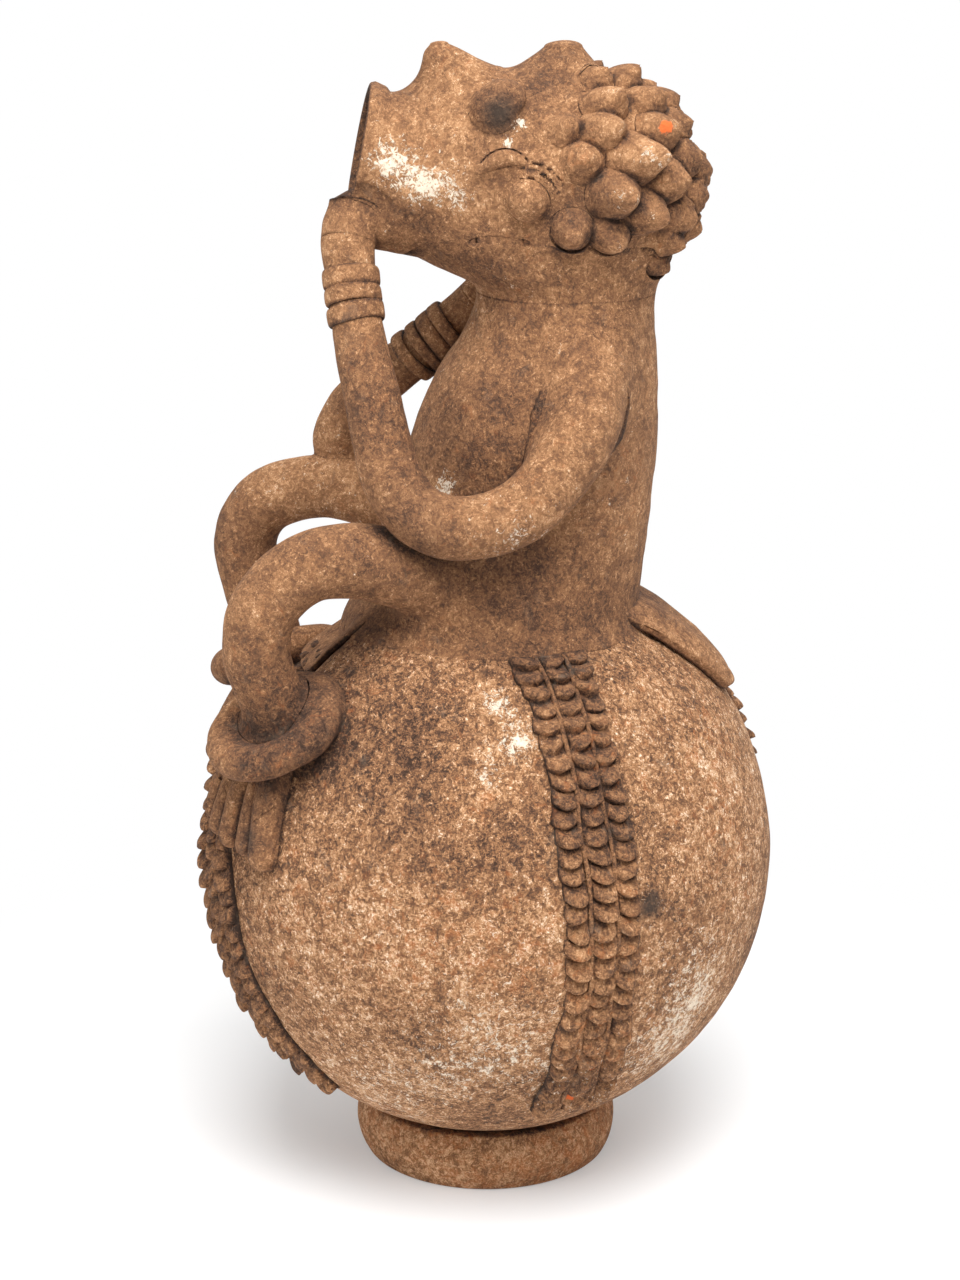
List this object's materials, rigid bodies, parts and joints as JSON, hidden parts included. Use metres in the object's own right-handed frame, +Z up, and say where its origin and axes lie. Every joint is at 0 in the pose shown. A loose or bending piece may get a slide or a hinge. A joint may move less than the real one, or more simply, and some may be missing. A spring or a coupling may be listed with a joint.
{
  "type": "figural terracotta vessel",
  "caption": "Hollow globular clay vessel with a seated figure on top, head thrown back and hands at the jaw, resting in a low ring stand, with bands of pressed pellets down the pot",
  "frame": {"origin": "middle of the ring stand's foot, on the surface it stands on", "axes": "+Z up, the figure faces -Y, the figure's left side is on +X"},
  "size_m": [0.2814, 0.2805, 0.5474],
  "materials": {
    "figure_clay": "matt fired clay, brown, worn, with pale crusts and grey-brown stains",
    "pot_clay": "matt fired clay, orange-brown, with peach and white crusts",
    "stand_clay": "matt fired clay, rusty brown",
    "band_clay": "rough fired clay, dark brown, pressed pellets with grit in the grooves",
    "hair_clay": "rough fired clay, dark brown, with a few bright orange chips"
  },
  "bodies": {
    "stand": {"ring_stand": "stand_clay"},
    "vessel": {"pot_body": "pot_clay", "torso": "figure_clay", "head_shell": "figure_clay", "leg_left": "figure_clay", "leg_right": "figure_clay", "arm_left": "figure_clay", "arm_right": "figure_clay", "hand_left": "figure_clay", "hand_right": "figure_clay", "bracelet_left_1": "figure_clay", "bracelet_left_2": "figure_clay", "bracelet_left_3": "figure_clay", "bracelet_right_1": "figure_clay", "bracelet_right_2": "figure_clay", "bracelet_right_3": "figure_clay", "bracelet_right_4": "figure_clay", "anklet_left": "figure_clay", "anklet_right": "figure_clay", "foot_left": "figure_clay", "foot_right": "figure_clay", "flap_front": "figure_clay", "flap_back": "figure_clay", "pellets_left_1": "band_clay", "pellets_left_2": "band_clay", "pellets_left_3": "band_clay", "cord_left_1": "band_clay", "cord_left_2": "band_clay", "pellets_back_1": "band_clay", "pellets_back_2": "band_clay", "pellets_back_3": "band_clay", "cord_back_1": "band_clay", "cord_back_2": "band_clay", "pellets_right_1": "band_clay", "pellets_right_2": "band_clay", "pellets_right_3": "band_clay", "cord_right_1": "band_clay", "cord_right_2": "band_clay", "pellets_front_1": "band_clay", "pellets_front_2": "band_clay", "pellets_front_3": "band_clay", "cord_front_1": "band_clay", "cord_front_2": "band_clay", "nose": "figure_clay", "forelock": "figure_clay", "eye_left": "figure_clay", "eye_right": "figure_clay", "ear_left": "figure_clay", "ear_right": "figure_clay", "hair_fringe_left": "hair_clay", "hair_fringe_right": "hair_clay", "hair_row_front": "hair_clay", "hair_row_middle": "hair_clay", "hair_nape_left": "hair_clay", "hair_nape_right": "hair_clay", "hair_row_rear": "hair_clay", "hair_row_crown": "hair_clay"}
  },
  "joints": [
    {"name": "vessel_lift", "type": "slide", "parent": "stand", "child": "vessel", "axis": [0, 0, 1], "range_m": [0, 0.05]}
  ]
}
